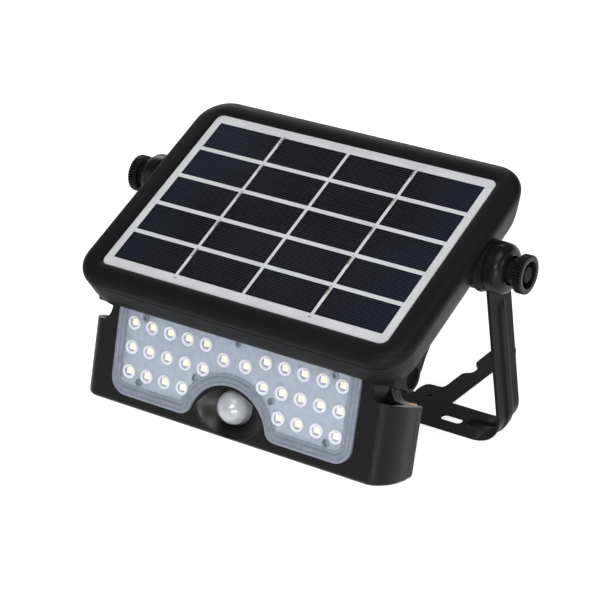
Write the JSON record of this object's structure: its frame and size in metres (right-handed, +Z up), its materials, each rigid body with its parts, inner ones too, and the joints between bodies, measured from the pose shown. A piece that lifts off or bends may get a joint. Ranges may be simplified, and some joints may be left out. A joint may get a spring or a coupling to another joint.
{
  "type": "solar flood light",
  "caption": "Solar flood light: a framed solar panel housing held in a U-shaped clamp bracket, with a hinged LED head that has a domed motion sensor.",
  "frame": {"origin": "middle of the bracket base's underside, under the swivel axis", "axes": "+X to the lamp's right along the swivel axis, +Y to the rear, +Z up from the surface that the bracket is screwed to"},
  "size_m": [0.2376, 0.1713, 0.1334],
  "materials": {
    "painted_steel": "dark grey powder coat on pressed steel strap, slightly grained, satin",
    "grey_plastic": "dark grey moulded ABS, fine spark texture, satin",
    "grained_plastic": "dark grey moulded ABS with a coarser grain, matte",
    "black_rubber": "black silicone rubber, matte",
    "solar_laminate": "glossy laminate over dark blue-black solar cells, white border and fine silver fingers and ribbons",
    "clear_lens": "clear polycarbonate, polished, with a moulded lens over each LED",
    "white_board": "white solder mask with yellow LED chips",
    "milky_dome": "milky translucent polyethylene, faceted inside",
    "circuit_green": "green circuit board",
    "aluminium": "plain rolled sheet",
    "bright_steel": "zinc plated steel",
    "brass": "turned brass, satin",
    "battery_wrap": "blue heat-shrink wrap"
  },
  "bodies": {
    "bracket": {"mounting_bracket": "painted_steel", "clamp_cap_left": "grey_plastic", "clamp_cap_right": "grey_plastic"},
    "housing": {"rear_housing": "grey_plastic", "front_bezel": "grey_plastic", "solar_laminate": "solar_laminate", "housing_seal": "black_rubber", "detent_ring_left": "grey_plastic", "detent_ring_right": "grey_plastic", "clamp_insert_left": "brass", "clamp_insert_right": "brass", "hinge_pin_left": "bright_steel", "hinge_pin_right": "bright_steel", "hinge_cap_left": "black_rubber", "hinge_cap_right": "black_rubber", "housing_screw_1": "bright_steel", "housing_screw_2": "bright_steel", "housing_screw_3": "bright_steel", "housing_screw_4": "bright_steel", "battery_cell_front": "battery_wrap", "battery_cell_rear": "battery_wrap", "battery_cradle": "grey_plastic", "control_board": "circuit_green"},
    "head": {"head_front_shell": "grained_plastic", "head_rear_cover": "grained_plastic", "lens_plate": "clear_lens", "lens_seal": "black_rubber", "led_board": "white_board", "heat_plate": "aluminium", "board_screw_1": "bright_steel", "board_screw_2": "bright_steel", "board_screw_3": "bright_steel", "board_screw_4": "bright_steel", "board_screw_5": "bright_steel", "board_screw_6": "bright_steel", "board_screw_7": "bright_steel", "sensor_dome": "milky_dome", "motion_sensor": "bright_steel", "sensor_board": "circuit_green", "cover_screw_1": "bright_steel", "cover_screw_2": "bright_steel", "cover_screw_3": "bright_steel", "cover_screw_4": "bright_steel", "shoulder_insert_left": "brass", "shoulder_insert_right": "brass"},
    "knob_left": {"clamp_knob_left": "grey_plastic", "clamp_bolt_left": "bright_steel"},
    "knob_right": {"clamp_knob_right": "grey_plastic", "clamp_bolt_right": "bright_steel"},
    "mode_button": {"mode_button": "black_rubber"}
  },
  "joints": [
    {"name": "swivel", "type": "hinge", "parent": "bracket", "child": "housing", "pos_m": [0, 0, 0.1054], "axis": [1, 0, 0], "range_deg": [-100, 20]},
    {"name": "head_tilt", "type": "hinge", "parent": "housing", "child": "head", "pos_m": [0, -0.06392, 0.07768], "axis": [1, 0, 0], "range_deg": [-6, 80]},
    {"name": "knob_left_turn", "type": "hinge", "parent": "housing", "child": "knob_left", "pos_m": [0, 0, 0.1054], "axis": [-1, 0, 0], "range_deg": [0, 360]},
    {"name": "knob_right_turn", "type": "hinge", "parent": "housing", "child": "knob_right", "pos_m": [0, 0, 0.1054], "axis": [1, 0, 0], "range_deg": [0, 360]},
    {"name": "mode_button_push", "type": "slide", "parent": "housing", "child": "mode_button", "axis": [0, -0.2233, 0.9748], "range_m": [0, 0.001], "stiffness_N_per_m": 600}
  ]
}
